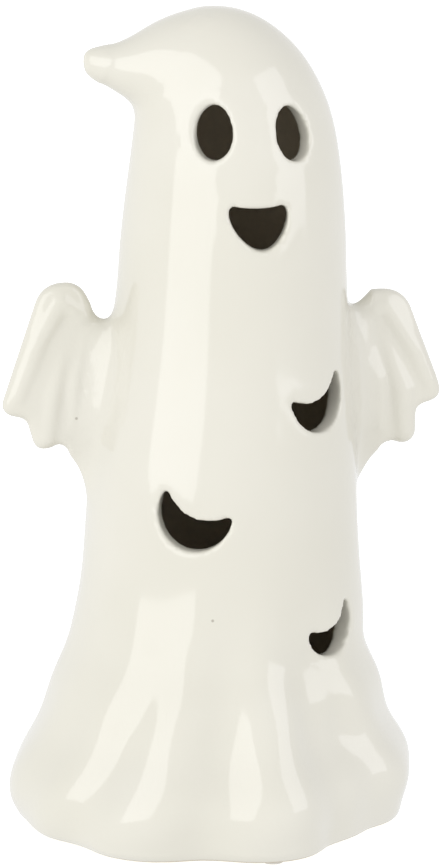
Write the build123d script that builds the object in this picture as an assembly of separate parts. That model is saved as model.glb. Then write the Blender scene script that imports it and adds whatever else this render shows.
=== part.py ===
from build123d import *
import os
from math import cos, exp, hypot, pi, radians, sin, sqrt, tan

# Ceramic ghost lantern, in millimetres. The figure stands on the XY plane, looks along -Y and is +Z up.
# The slip-cast glazed figure is hollow, and a battery lamp plugs into the socket in its floor.

# Foot pads: angles from the face, on the hem's folds
PAD_HEIGHT = 0.7
PAD_RADIUS = 2.1
PAD_ANGLES = (8.0, 103.0, 170.0, 261.0)

# Ceramic figure
WALL = 4.5
RING_POINTS = 48
# Height, outer radius, share of the flutes' depth and sideways lean of each ring, from the foot upwards.
BODY_RINGS = [
    (PAD_HEIGHT, 42.6, 0.85, -1.8),
    (2.6, 44.6, 0.92, -2.3),
    (6.0, 45.7, 1.00, -2.3),
    (10.5, 46.3, 1.00, -1.3),
    (17.0, 44.0, 1.00, -0.5),
    (26.0, 39.3, 0.85, -0.8),
    (36.0, 35.7, 0.48, -0.7),
    (48.0, 32.4, 0.14, -0.1),
    (66.0, 30.2, 0.0, 0.3),
    (92.0, 28.0, 0.0, 1.4),
    (118.0, 25.4, 0.0, 2.6),
    (136.0, 24.1, 0.0, 3.1),
    (148.0, 22.7, 0.0, 3.3),
    (155.0, 21.6, 0.0, 3.1),
    (161.0, 20.1, 0.0, 2.6),
    (166.0, 18.2, 0.0, 2.0),
    (171.0, 15.4, 0.0, 1.2),
    (175.0, 12.0, 0.0, 0.3),
    (178.0, 8.0, 0.0, -0.6),
    (179.6, 3.6, 0.0, -1.6),
]
CROWN_HEIGHT = 180.0
CROWN_LEAN = -2.0
# Angle from the face at the hem, depth and half width in degrees of each flute between the hem's folds.
HEM_FLUTES = [
    (-84.0, 1.6, 13.0),
    (-57.0, 3.0, 10.0),
    (-13.0, 4.6, 13.0),
    (33.0, 5.4, 11.0),
    (51.0, 5.0, 11.0),
    (86.0, 2.6, 24.0),
    (122.0, 3.8, 13.0),
    (155.0, 3.4, 11.0),
    (186.0, 3.6, 11.0),
    (216.0, 3.8, 13.0),
    (246.0, 1.2, 12.0),
]
FLUTE_FAN = 42.0
FLUTE_TOP = 50.0
# Lower and upper end of each ring of the hooked tip, as X and Z, and its half depth along Y.
HOOK_RINGS = [
    ((-5.0, 160.0), (-5.6, 178.3), 12.4),
    ((-11.6, 157.8), (-11.4, 178.1), 12.2),
    ((-16.8, 157.2), (-15.4, 176.3), 10.6),
    ((-20.4, 159.8), (-19.2, 174.0), 7.8),
    ((-23.6, 161.8), (-22.4, 172.4), 5.8),
    ((-26.3, 163.4), (-25.4, 171.7), 4.4),
    ((-28.5, 164.9), (-28.3, 171.0), 2.9),
]
HOOK_POINTS = 16
HOOK_TIP = (-29.8, 168.2)

# Wings: distance from the wings' middle, height and rounding of each corner, from shoulder to flank.
WING_MIDDLE = 0.3
WING_THICKNESS = 4.4
WING_EDGE_ROUNDING = 1.8
RIGHT_WING = [
    (20.0, 112.9, 0.0),
    (28.4, 112.9, 3.0),
    (31.6, 117.3, 6.8),
    (41.0, 117.0, 6.4),
    (50.2, 92.5, 2.6),
    (43.9, 90.7, 2.0),
    (43.4, 82.2, 2.2),
    (36.4, 83.4, 3.6),
    (31.6, 73.6, 0.0),
]
LEFT_WING = [
    (20.0, 112.4, 0.0),
    (27.0, 112.4, 4.0),
    (31.4, 120.9, 4.6),
    (39.6, 120.5, 6.0),
    (49.2, 92.4, 2.4),
    (43.2, 91.0, 2.2),
    (41.0, 83.2, 2.2),
    (35.0, 86.2, 2.6),
    (30.2, 73.0, 0.0),
]
# Ridges on each wing: points along the ridge, with the ridge's radius at each.
RIGHT_RIDGES = [
    [((31.5, 111.6), 2.8), ((36.6, 113.6), 3.1), ((42.7, 104.0), 3.1), ((46.3, 95.8), 2.7)],
    [((36.6, 105.0), 2.5), ((40.4, 94.5), 3.5), ((40.8, 85.4), 3.1)],
    [((30.5, 110.0), 2.6), ((34.2, 97.0), 3.5), ((34.6, 87.0), 3.1)],
]
LEFT_RIDGES = [
    [((31.0, 113.2), 2.8), ((35.6, 116.8), 3.1), ((40.4, 108.4), 3.1), ((45.0, 96.0), 2.7)],
    [((35.2, 105.5), 2.4), ((37.6, 96.0), 3.0), ((38.8, 87.0), 2.8)],
    [((29.8, 110.0), 2.5), ((32.6, 98.0), 2.9), ((32.8, 89.0), 2.7)],
]
# Concave fillings between the wings' roots and the body
WEB_RADIUS = 13.0
WEB_SINK = 0.8
WEB_REACH = 36.0
WEB_HALF_DEPTH = 9.0
WEB_BOTTOM = 87.0
WEB_TOP = 109.0

# Cut-outs: angle from the face, height of the middle, sizes, and the turn of the cut from square to the wall.
EYE_WIDTH = 8.2
EYE_RISE = 6.5
EYE_DROP = 5.2
# Angle, height, tilt and turn of each eye, where a positive tilt leans its top to the viewer's left.
EYES = [
    (-23.9, 153.9, 0.0, 0.0),
    (24.3, 153.4, 10.0, -6.0),
]
MOUTH_ANGLE = 0.5
MOUTH_TURN = -7.0
MOUTH_HEIGHT = 134.6
MOUTH_WIDTH = 11.8
MOUTH_RISE = 4.9
MOUTH_LIP_SAG = 0.8
MOUTH_DROP = 4.7
MOUTH_SKEW = 1.9
MOUTH_LEFT_CHEEK = (-4.2, -1.3)
MOUTH_RIGHT_CHEEK = (5.5, -1.3)
MOUTH_CORNER = 0.5
CRESCENT_RADIUS = 7.9
CRESCENT_BITE_RADIUS = 9.4
CRESCENT_SHIFT = 8.5
CRESCENT_HORN = 0.6
# Angle, height, tilt, turn and relative size of each crescent, where a positive tilt lifts its right horn.
CRESCENTS = [
    (-23.6, 74.3, -21.0, 0.0, 1.03),
    (35.2, 98.0, 21.0, -8.0, 1.0),
    (39.4, 48.2, 25.0, 0.0, 0.9),
]

# Socket in the figure's floor, for the lamp
FLOOR_UNDERSIDE = 6.0
FLOOR_THICKNESS = 5.0
SHELF_WIDTH = 4.6
RECESS_CLEARANCE = 0.8
SOCKET_CLEARANCE = 0.5

# Battery cells and their contacts
CELL_RADIUS = 5.25
CELL_LENGTH = 44.5
CELL_NUB_RADIUS = 1.9
CELL_NUB_LENGTH = 1.0
CELL_EDGE = 0.5
CELL_SPACING = 0.6
CELL_CLEARANCE = 0.5
CONTACT_THICKNESS = 0.4
CONTACT_WIDTH = 8.0
CONTACT_HEIGHT = 8.4
LUG_WIDTH = 3.0
LUG_REACH = 2.5
LUG_RISE = 2.4
LUG_CLEARANCE = 0.1
SPRING_LENGTH = 5.0
SPRING_WIRE_RADIUS = 0.3
SPRING_WIDE_RADIUS = 3.4
SPRING_NARROW_RADIUS = 2.6
SPRING_TURNS = 4
SPRING_SEAT_GAP = 0.02

# Base cover with the battery tub, and its door
COVER_THICKNESS = 3.0
TUB_WALL = 1.4
TUB_CORNER_WALL = 1.0
TUB_CLEARANCE = 0.3
DOOR_THICKNESS = 1.8
DOOR_LEDGE = 1.3
DOOR_GAP = 0.3
HINGE_SETBACK = 1.9
HINGE_LENGTH = 30.0
HINGE_RADIUS = 1.2
HINGE_GAP = 0.4
HINGE_PIN_RADIUS = 0.8
HINGE_PIN_LENGTH = 2.4
HINGE_PIN_CLEARANCE = 0.05
HINGE_HOOD_HEIGHT = 1.2
NOTCH_RADIUS = 4.0
NOTCH_DEPTH = 1.2

# Lamp housing, grip ring and diffuser
HOUSING_WALL = 1.5
HOUSING_PLATE = 1.6
SHOULDER_RISE = 0.8
HOUSING_TAPER = 4.4
RING_HEIGHT = 2.4
RING_DEPTH = 0.8
RING_SET_UP = 1.3
RING_CLEARANCE = 0.05
RING_TO_SOCKET = 0.25
DIFFUSER_RADIUS = 9.0
DIFFUSER_STRAIGHT = 1.6
DIFFUSER_WALL = 1.2
DIFFUSER_FLANGE = 1.5
DIFFUSER_FLANGE_THICKNESS = 1.2
DIFFUSER_SEAT_DEPTH = 0.6
DIFFUSER_CLEARANCE = 0.15

# Screws that hold the cover to the housing
BOSS_ANGLE = 55.3
BOSS_INSET = 0.2
COVER_SCREW_RADIUS = 1.3
COVER_SCREW_LENGTH = 11.0
COVER_SCREW_HEAD_RADIUS = 2.6
COVER_SCREW_HEAD = 1.4
SCREW_CLEARANCE = 0.3
SCREW_PILOT_CLEARANCE = 0.05
SCREW_SLOT_WIDTH = 0.6
SCREW_SLOT_DEPTH = 0.6
BOSS_RADIUS = 3.0

# Circuit board and what is on it
BOARD_LENGTH = 26.0
BOARD_WIDTH = 16.0
BOARD_THICKNESS = 1.2
POST_RADIUS = 2.2
POST_HEIGHT = 1.8
POST_SPACING = 20.0
BOARD_SCREW_RADIUS = 0.8
BOARD_SCREW_LENGTH = 3.2
BOARD_SCREW_HEAD_RADIUS = 1.6
BOARD_SCREW_HEAD = 1.0
BOARD_SCREW_CLEARANCE = 0.15
LED_RADIUS = 2.5
LED_FLANGE_RADIUS = 2.9
LED_FLANGE_HEIGHT = 1.0
LED_HEIGHT = 8.6
LED_STANDOFF = 0.5
LED_PROUD = 1.4
LED_HOLE_CLEARANCE = 0.4
LEAD_THICKNESS = 0.5
LEAD_SPACING = 2.54
LEAD_TAIL = 0.8
LEAD_HOLE_CLEARANCE = 0.1
RESISTOR_PLACE = (5.2, -4.6)
RESISTOR_RADIUS = 0.95
RESISTOR_LENGTH = 3.4
RESISTOR_SPAN = 6.2
RESISTOR_RISE = 1.2
RESISTOR_LEAD_RADIUS = 0.25
CHIP_PLACE = (-5.6, 4.4)
CHIP_LENGTH = 4.9
CHIP_WIDTH = 3.9
CHIP_HEIGHT = 1.4
CHIP_STANDOFF = 0.2
CHIP_LEG_COUNT = 4
CHIP_LEG_PITCH = 1.27
CHIP_LEG_WIDTH = 0.4
CHIP_LEG_REACH = 1.0
CHIP_LEG_THICKNESS = 0.6

# Slide switch
SWITCH_SETBACK = 8.4
SWITCH_LENGTH = 9.0
SWITCH_WIDTH = 4.6
SWITCH_HEIGHT = 4.2
SWITCH_WALL = 0.7
SWITCH_TRAVEL = 2.0
SLIDER_CLEARANCE = 0.2
SLIDER_HEIGHT = 1.6
SLIDER_STEM = 1.8
SLIDER_SLOT_CLEARANCE = 0.3
SLIDER_PROUD = 0.7
TERMINAL_PITCH = 2.5
TERMINAL_WIDTH = 1.2
TERMINAL_THICKNESS = 0.6
TERMINAL_RISE = 2.4

# Wires
WIRE_RADIUS = 0.5
WIRE_ARCH = 4.2
WIRE_RISE = 5.0
WIRE_BEND_SHARE = 0.45
BOARD_PAD_POSITIVE = (-11.0, -5.5)
BOARD_PAD_SWITCH = (9.5, 6.0)

# Levels and distances that follow
FLOOR_TOP = FLOOR_UNDERSIDE + FLOOR_THICKNESS
COVER_BOTTOM = FLOOR_UNDERSIDE - COVER_THICKNESS
DOOR_TOP = COVER_BOTTOM + DOOR_THICKNESS
CELL_OFFSET = CELL_RADIUS + CELL_SPACING / 2
CELL_AXIS = DOOR_TOP + CELL_CLEARANCE + CELL_RADIUS
TUB_CEILING = CELL_AXIS + CELL_RADIUS + CELL_CLEARANCE
TUB_TOP = TUB_CEILING + TUB_WALL
TUB_HALF_WIDTH = CELL_OFFSET + CELL_RADIUS + CELL_CLEARANCE
TUB_HALF_LENGTH = (CELL_LENGTH + SPRING_LENGTH) / 2 + CONTACT_THICKNESS
TUB_CORNER = hypot(TUB_HALF_LENGTH, TUB_HALF_WIDTH) + TUB_CORNER_WALL
CONTACT_FACE = TUB_HALF_LENGTH - CONTACT_THICKNESS
HOUSING_INNER = TUB_CORNER + TUB_CLEARANCE
HOUSING_RADIUS = HOUSING_INNER + HOUSING_WALL
HOUSING_TOP_RADIUS = HOUSING_RADIUS - HOUSING_TAPER
HOUSING_SHOULDER = TUB_TOP + SHOULDER_RISE
SOCKET_RADIUS = HOUSING_RADIUS + SOCKET_CLEARANCE
RECESS_RADIUS = SOCKET_RADIUS + SHELF_WIDTH
COVER_RADIUS = RECESS_RADIUS - RECESS_CLEARANCE
LUG_TOP = TUB_TOP + LUG_RISE
DOOR_HALF_LENGTH = TUB_HALF_LENGTH + DOOR_LEDGE
DOOR_HALF_WIDTH = TUB_HALF_WIDTH + DOOR_LEDGE
HINGE_Y = -(DOOR_HALF_WIDTH + HINGE_SETBACK)
HINGE_Z = COVER_BOTTOM + HINGE_RADIUS
HINGE_SIDE_GAP = hypot(HINGE_SETBACK + DOOR_GAP, HINGE_RADIUS) - HINGE_SETBACK
BOARD_BOTTOM = TUB_TOP + POST_HEIGHT
BOARD_TOP = BOARD_BOTTOM + BOARD_THICKNESS
LED_BASE = BOARD_TOP + LED_STANDOFF
LED_TOP = LED_BASE + LED_HEIGHT
HOUSING_TOP = LED_TOP - LED_PROUD
PLATE_UNDERSIDE = HOUSING_TOP - HOUSING_PLATE
SWITCH_Y = DOOR_HALF_WIDTH + SWITCH_SETBACK
SWITCH_TOP = FLOOR_UNDERSIDE + SWITCH_HEIGHT
TERMINAL_TOP = SWITCH_TOP + TERMINAL_RISE
BOSS_REACH = HOUSING_RADIUS - BOSS_RADIUS - BOSS_INSET
BOSS_X = BOSS_REACH * cos(radians(BOSS_ANGLE))
BOSS_Y = BOSS_REACH * sin(radians(BOSS_ANGLE))
COVER_SCREW_PLACES = [(-BOSS_X, -BOSS_Y), (-BOSS_X, BOSS_Y), (BOSS_X, -BOSS_Y), (BOSS_X, BOSS_Y)]
BOARD_SCREW_PLACES = [(-POST_SPACING / 2, 0), (POST_SPACING / 2, 0)]


def block(x_span, y_span, z_span):
    """Box between two X values, two Y values and two Z values."""
    spans = (x_span, y_span, z_span)
    middle = [(low + high) / 2 for low, high in spans]
    return Pos(*middle) * Box(*[high - low for low, high in spans])


def centred(half):
    """Span from minus a half size to plus it."""
    return (-half, half)


def round_bar(radius, place, z_span):
    """Upright cylinder at an X and Y place."""
    return Pos(place[0], place[1], sum(z_span) / 2) * Cylinder(radius, z_span[1] - z_span[0])


def flute_depth(angle, height):
    """Depth of the flutes at an angle in degrees from the face. They fan towards the face higher up."""
    rise = min(height / FLUTE_TOP, 1.0)
    fanned = angle + FLUTE_FAN * rise * sin(radians(angle))
    total = 0.0
    for middle, depth, half_width in HEM_FLUTES:
        away = (fanned - middle + 180.0) % 360.0 - 180.0
        total += depth * exp(-((away / half_width) ** 2))
    return total


def ring_point(angle, height, radius, share, lean):
    """Point of the body's outside at one height and angle from the face."""
    reach = radius - share * flute_depth(angle, height)
    return Vector(lean + reach * sin(radians(angle)), -reach * cos(radians(angle)), height)


def closed_ring(points):
    """Face inside a smooth closed outline."""
    return Face(Wire(Spline(points, periodic=True)))


def body_ring(*ring):
    """Level section of the body at one height."""
    return closed_ring([ring_point(360.0 * step / RING_POINTS, *ring) for step in range(RING_POINTS)])


def hook_ring(lower, upper, half_depth):
    """Oval section of the hooked tip between its lower and upper ends."""
    lower, upper = Vector(lower[0], 0, lower[1]), Vector(upper[0], 0, upper[1])
    middle, half = (lower + upper) / 2, (upper - lower) / 2
    points = []
    for step in range(HOOK_POINTS):
        angle = 2 * pi * step / HOOK_POINTS
        points.append(middle + half * cos(angle) + Vector(0, half_depth * sin(angle), 0))
    return closed_ring(points)


def tapered_rod(start, end, start_radius, end_radius):
    """Round rod with ball ends between two points."""
    start, end = Vector(start), Vector(end)
    length = (end - start).length
    half = Polyline((0, 0), (start_radius, 0), (end_radius, length), (0, length), close=True)
    rod = Plane(start, z_dir=end - start) * revolve(Plane.XZ * make_face(half), Axis.Z)
    return rod + Pos(start) * Sphere(start_radius) + Pos(end) * Sphere(end_radius)


def wing(side, outer_corners, ridges):
    """Flat flap with raised ridges on one side: 1 is the viewer's right and -1 the left."""
    corners = [(WING_MIDDLE + side * reach, 0, height) for reach, height, rounding in outer_corners]
    roundings = [rounding for reach, height, rounding in outer_corners[1:-1]]
    outline = FilletPolyline(*corners, radius=roundings)
    root = Line(corners[-1], corners[0])
    flap = extrude(Face(Wire([*outline.edges(), root])), WING_THICKNESS / 2, dir=(0, 1, 0), both=True)
    rim = []
    for edge in flap.edges():
        middle = edge.position_at(0.5)
        on_face = abs(abs(middle.Y) - WING_THICKNESS / 2) < WING_EDGE_ROUNDING / 10
        if on_face and (middle - root @ 0.5).length > WING_THICKNESS:
            rim.append(edge)
    flap = fillet(rim, WING_EDGE_ROUNDING)
    for ridge in ridges:
        for (near, near_radius), (far, far_radius) in zip(ridge, ridge[1:]):
            start = (WING_MIDDLE + side * near[0], 0, near[1])
            end = (WING_MIDDLE + side * far[0], 0, far[1])
            flap += tapered_rod(start, end, near_radius, far_radius)
    return flap


def body_at(height):
    """Outer radius and sideways lean of the body at a height."""
    for below, above in zip(BODY_RINGS, BODY_RINGS[1:]):
        if below[0] <= height <= above[0]:
            share = (height - below[0]) / (above[0] - below[0])
            radius = below[1] + share * (above[1] - below[1])
            return radius, below[3] + share * (above[3] - below[3])
    return 0.0, CROWN_LEAN


def wing_web(side):
    """Fillings in front of and behind a wing's root, with hollow faces that run from the body to the wing."""
    away = WING_THICKNESS / 2 + WEB_RADIUS
    filling = block(sorted((0, side * WEB_REACH)), centred(WEB_HALF_DEPTH), (WEB_BOTTOM, WEB_TOP))
    for front in (-1, 1):
        ends = []
        for height in (WEB_BOTTOM, WEB_TOP):
            radius, lean = body_at(height)
            across = sqrt((radius + WEB_RADIUS) ** 2 - away**2)
            ends.append(Vector(lean + side * across, front * away, height))
        along = ends[1] - ends[0]
        axis = Plane(ends[0] - along / 2, z_dir=along)
        filling -= Solid.make_cylinder(WEB_RADIUS + WEB_SINK, 2 * along.length, axis)
    return filling


def figure_outside():
    """Solid outer shape of the figure with its hooked tip and wings."""
    body = loft([*[body_ring(*ring) for ring in BODY_RINGS], Vertex(CROWN_LEAN, 0, CROWN_HEIGHT)])
    hook = loft([*[hook_ring(*ring) for ring in HOOK_RINGS], Vertex(HOOK_TIP[0], 0, HOOK_TIP[1])])
    right, left = wing(1, RIGHT_WING, RIGHT_RIDGES), wing(-1, LEFT_WING, LEFT_RIDGES)
    return body.fuse(hook, right, left, wing_web(1), wing_web(-1))


def figure_cavity():
    """Hollow inside the figure, a wall's thickness inside the deepest flutes."""
    deepest = max(depth for middle, depth, half_width in HEM_FLUTES)
    profile = [(height, radius - share * deepest, lean) for height, radius, share, lean in BODY_RINGS]
    rings = []
    for below, here, above in zip(profile, profile[1:], profile[2:]):
        rise, spread = above[0] - below[0], above[1] - below[1]
        slope = hypot(rise, spread)
        height = here[0] + WALL * spread / slope
        radius = here[1] - WALL * rise / slope
        if height > FLOOR_TOP:
            rings.append((height, radius, here[2]))
    rings.insert(0, (FLOOR_TOP, rings[0][1], rings[0][2]))
    sections = [(Plane((lean, 0, height)) * Circle(radius)).face() for height, radius, lean in rings]
    return loft([*sections, Vertex(CROWN_LEAN, 0, CROWN_HEIGHT - WALL)])


def wall_cut(angle, turn, height, sketch):
    """Straight cut outwards through the body's wall, with its sketch upright as a viewer sees it."""
    way = radians(angle + turn)
    away = Vector(sin(way), -cos(way), 0)
    across = Vector(cos(way), sin(way), 0)
    radius, lean = body_at(height)
    start = Vector(lean, 0, height) - across * radius * sin(radians(turn))
    plane = Plane(start, x_dir=across, z_dir=away)
    reach = max(radius for ring_height, radius, share, lean in BODY_RINGS)
    return extrude(plane * sketch, reach)


def eye(tilt):
    """Egg with its wide end down."""
    half = EYE_WIDTH / 2
    top = EllipticalCenterArc((0, 0), half, EYE_RISE, 0, arc_size=180)
    bottom = EllipticalCenterArc((0, 0), half, EYE_DROP, 180, arc_size=180)
    return Rot(0, 0, tilt) * make_face([top, bottom])


def mouth():
    """Open smile with a slightly sagging upper lip and its chin to one side."""
    half = MOUTH_WIDTH / 2
    lip = ThreePointArc((half, MOUTH_RISE), (0, MOUTH_RISE - MOUTH_LIP_SAG), (-half, MOUTH_RISE))
    corners = (lip @ 1, lip @ 0)
    chin = Spline(corners[0], MOUTH_LEFT_CHEEK, (MOUTH_SKEW, -MOUTH_DROP), MOUTH_RIGHT_CHEEK, corners[1])
    smile = make_face([lip, chin])
    return fillet(smile.vertices(), MOUTH_CORNER)


def crescent(tilt, size):
    """Moon crescent with blunt horns, open upwards."""
    moon = Circle(CRESCENT_RADIUS * size) - Pos(0, CRESCENT_SHIFT * size) * Circle(CRESCENT_BITE_RADIUS * size)
    return Rot(0, 0, tilt) * fillet(moon.vertices(), CRESCENT_HORN)


def ceramic_body():
    """The slip-cast figure: hollow, with its cut-outs, and a floor with the lamp's socket."""
    openings = [wall_cut(angle, turn, height, eye(tilt)) for angle, height, tilt, turn in EYES]
    openings.append(wall_cut(MOUTH_ANGLE, MOUTH_TURN, MOUTH_HEIGHT, mouth()))
    for angle, height, tilt, turn, size in CRESCENTS:
        openings.append(wall_cut(angle, turn, height, crescent(tilt, size)))
    socket = round_bar(SOCKET_RADIUS, (0, 0), (0, HOUSING_SHOULDER + SOCKET_CLEARANCE))
    recess = round_bar(RECESS_RADIUS, (0, 0), (0, FLOOR_UNDERSIDE))
    return figure_outside().cut(figure_cavity(), socket, recess, *openings)


def foot_pads():
    """Soft pads under the hem, in the middle of its foot ring."""
    pads = []
    for angle in PAD_ANGLES:
        rim = ring_point(angle, *BODY_RINGS[0])
        reach = (RECESS_RADIUS + hypot(rim.X, rim.Y)) / 2
        way = Vector(rim.X, rim.Y, 0).normalized()
        pads.append(round_bar(PAD_RADIUS, (way.X * reach, way.Y * reach), (0, PAD_HEIGHT)))
    return Compound(pads)


def screw(place, under_head, radius, length, head_radius, head_height, upwards):
    """Pan-head screw with a slot. Its shank runs up or down from under its head."""
    way = 1 if upwards else -1
    tip, crown = under_head + way * length, under_head - way * head_height
    shank = round_bar(radius, place, sorted((under_head, tip)))
    head = round_bar(head_radius, place, sorted((under_head, crown)))
    slot_span = sorted((crown, crown + way * SCREW_SLOT_DEPTH))
    half_slot = SCREW_SLOT_WIDTH / 2
    x_span = (place[0] - head_radius, place[0] + head_radius)
    return shank + head - block(x_span, (place[1] - half_slot, place[1] + half_slot), slot_span)


def cover_screws():
    """Four screws that come up through the cover into the housing's bosses."""
    under_head = COVER_BOTTOM + COVER_SCREW_HEAD
    sizes = (COVER_SCREW_RADIUS, COVER_SCREW_LENGTH, COVER_SCREW_HEAD_RADIUS, COVER_SCREW_HEAD)
    return Compound([screw(place, under_head, *sizes, True) for place in COVER_SCREW_PLACES])


def board_screws():
    """Two screws that hold the board down on its posts."""
    sizes = (BOARD_SCREW_RADIUS, BOARD_SCREW_LENGTH, BOARD_SCREW_HEAD_RADIUS, BOARD_SCREW_HEAD)
    return Compound([screw(place, BOARD_TOP, *sizes, False) for place in BOARD_SCREW_PLACES])


def hinge_bar(radius, x_span):
    """Cylinder on the door hinge's axis."""
    axis = Plane((x_span[0], HINGE_Y, HINGE_Z), z_dir=(1, 0, 0))
    return Solid.make_cylinder(radius, x_span[1] - x_span[0], axis)


def base_cover():
    """Round cover with the battery tub, the seat and hinge of its door, and the board's posts."""
    half_length, half_width = TUB_HALF_LENGTH, TUB_HALF_WIDTH
    tub_z = (FLOOR_UNDERSIDE, TUB_TOP)
    outer = block(centred(half_length + TUB_WALL), centred(half_width + TUB_WALL), tub_z)
    tub = outer & round_bar(TUB_CORNER, (0, 0), tub_z)
    hood_half = HINGE_LENGTH / 2 + DOOR_GAP + HINGE_PIN_LENGTH + HINGE_GAP
    hood_y = (HINGE_Y - HINGE_RADIUS - HINGE_GAP, -half_width)
    hood = block(centred(hood_half), hood_y, (FLOOR_UNDERSIDE, FLOOR_UNDERSIDE + HINGE_HOOD_HEIGHT))
    body = round_bar(COVER_RADIUS, (0, 0), (COVER_BOTTOM, FLOOR_UNDERSIDE)).fuse(tub, hood)
    posts = [round_bar(POST_RADIUS, place, (TUB_TOP, BOARD_BOTTOM)) for place in BOARD_SCREW_PLACES]
    body = body.fuse(*posts)

    cuts = [block(centred(half_length), centred(half_width), (COVER_BOTTOM, TUB_CEILING))]
    cuts.append(block(centred(DOOR_HALF_LENGTH), centred(DOOR_HALF_WIDTH), (COVER_BOTTOM, DOOR_TOP)))
    barrel_half = HINGE_LENGTH / 2 + DOOR_GAP
    cuts.append(hinge_bar(HINGE_RADIUS + HINGE_GAP, centred(barrel_half)))
    mouth_y = (HINGE_Y - HINGE_RADIUS - HINGE_GAP, -DOOR_HALF_WIDTH)
    cuts.append(block(centred(barrel_half), mouth_y, (COVER_BOTTOM, HINGE_Z)))
    tongue_y = (HINGE_Y, -DOOR_HALF_WIDTH)
    cuts.append(block(centred(barrel_half), tongue_y, (COVER_BOTTOM, DOOR_TOP)))
    cuts.append(hinge_bar(HINGE_PIN_RADIUS + HINGE_PIN_CLEARANCE, centred(barrel_half + HINGE_PIN_LENGTH)))
    cuts.append(round_bar(NOTCH_RADIUS, (0, DOOR_HALF_WIDTH), (COVER_BOTTOM, COVER_BOTTOM + NOTCH_DEPTH)))
    half_slot = SLIDER_STEM / 2 + SLIDER_SLOT_CLEARANCE
    slot_y = (SWITCH_Y - half_slot, SWITCH_Y + half_slot)
    cuts.append(block(centred(half_slot + SWITCH_TRAVEL / 2), slot_y, (COVER_BOTTOM, FLOOR_UNDERSIDE)))
    for place in COVER_SCREW_PLACES:
        cuts.append(round_bar(COVER_SCREW_RADIUS + SCREW_CLEARANCE, place, (COVER_BOTTOM, FLOOR_UNDERSIDE)))
        head_span = (COVER_BOTTOM, COVER_BOTTOM + COVER_SCREW_HEAD)
        cuts.append(round_bar(COVER_SCREW_HEAD_RADIUS + SCREW_CLEARANCE, place, head_span))
    for place in BOARD_SCREW_PLACES:
        pilot = BOARD_SCREW_RADIUS + SCREW_PILOT_CLEARANCE
        cuts.append(round_bar(pilot, place, (BOARD_TOP - BOARD_SCREW_LENGTH, BOARD_BOTTOM)))
    for side in (-1, 1):
        half_lug = LUG_WIDTH / 2 + LUG_CLEARANCE
        lug_y = (side * CELL_OFFSET - half_lug, side * CELL_OFFSET + half_lug)
        lug_x = (-half_length, LUG_CLEARANCE - CONTACT_FACE)
        cuts.append(block(lug_x, lug_y, (TUB_CEILING, TUB_TOP)))
    return body.cut(*cuts)


def battery_door():
    """Door plate with a tongue to its hinge barrel and a pin at each end."""
    hinge_side, free_side = HINGE_SIDE_GAP - DOOR_HALF_WIDTH, DOOR_HALF_WIDTH - DOOR_GAP
    z_span = (COVER_BOTTOM, DOOR_TOP)
    plate = block(centred(DOOR_HALF_LENGTH - DOOR_GAP), (hinge_side, free_side), z_span)
    tongue = block(centred(HINGE_LENGTH / 2), (HINGE_Y, hinge_side), z_span)
    barrel = hinge_bar(HINGE_RADIUS, centred(HINGE_LENGTH / 2))
    pin = hinge_bar(HINGE_PIN_RADIUS, centred(HINGE_LENGTH / 2 + HINGE_PIN_LENGTH))
    return plate.fuse(tongue, barrel, pin)


def lamp_housing():
    """Cup over the battery tub, with screw bosses, the light's hole and the diffuser's seat."""
    shoulder = Plane((0, 0, HOUSING_SHOULDER))
    taper = Solid.make_cone(HOUSING_RADIUS, HOUSING_TOP_RADIUS, HOUSING_TOP - HOUSING_SHOULDER, shoulder)
    inner_top = HOUSING_TOP_RADIUS - HOUSING_WALL
    inner_taper = Solid.make_cone(HOUSING_INNER, inner_top, PLATE_UNDERSIDE - HOUSING_SHOULDER, shoulder)
    shell = round_bar(HOUSING_RADIUS, (0, 0), (FLOOR_UNDERSIDE, HOUSING_SHOULDER)) + taper
    shell -= round_bar(HOUSING_INNER, (0, 0), (FLOOR_UNDERSIDE, HOUSING_SHOULDER)) + inner_taper
    boss_z = (FLOOR_UNDERSIDE, HOUSING_SHOULDER)
    bosses = [round_bar(BOSS_RADIUS, place, boss_z) for place in COVER_SCREW_PLACES]
    pilot = COVER_SCREW_RADIUS + SCREW_PILOT_CLEARANCE
    depth = COVER_BOTTOM + COVER_SCREW_HEAD + COVER_SCREW_LENGTH + SCREW_CLEARANCE
    cuts = [round_bar(pilot, place, (FLOOR_UNDERSIDE, depth)) for place in COVER_SCREW_PLACES]
    cuts.append(round_bar(LED_RADIUS + LED_HOLE_CLEARANCE, (0, 0), (PLATE_UNDERSIDE, HOUSING_TOP)))
    seat = DIFFUSER_RADIUS + DIFFUSER_FLANGE + DIFFUSER_CLEARANCE
    cuts.append(round_bar(seat, (0, 0), (HOUSING_TOP - DIFFUSER_SEAT_DEPTH, HOUSING_TOP)))
    groove_z = (FLOOR_UNDERSIDE + RING_SET_UP, FLOOR_UNDERSIDE + RING_SET_UP + RING_HEIGHT)
    groove = round_bar(HOUSING_RADIUS, (0, 0), groove_z)
    groove -= round_bar(HOUSING_RADIUS - RING_DEPTH, (0, 0), groove_z)
    return shell.fuse(*bosses).cut(groove, *cuts)


def grip_ring():
    """Soft ring in the housing's groove, which grips the socket."""
    z_span = (FLOOR_UNDERSIDE + RING_SET_UP, FLOOR_UNDERSIDE + RING_SET_UP + RING_HEIGHT)
    inner = HOUSING_RADIUS - RING_DEPTH + RING_CLEARANCE
    ring = round_bar(SOCKET_RADIUS - RING_TO_SOCKET, (0, 0), z_span)
    ring = fillet(ring.edges().filter_by(GeomType.CIRCLE), RING_DEPTH / 2)
    return ring - round_bar(inner, (0, 0), z_span)


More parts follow.
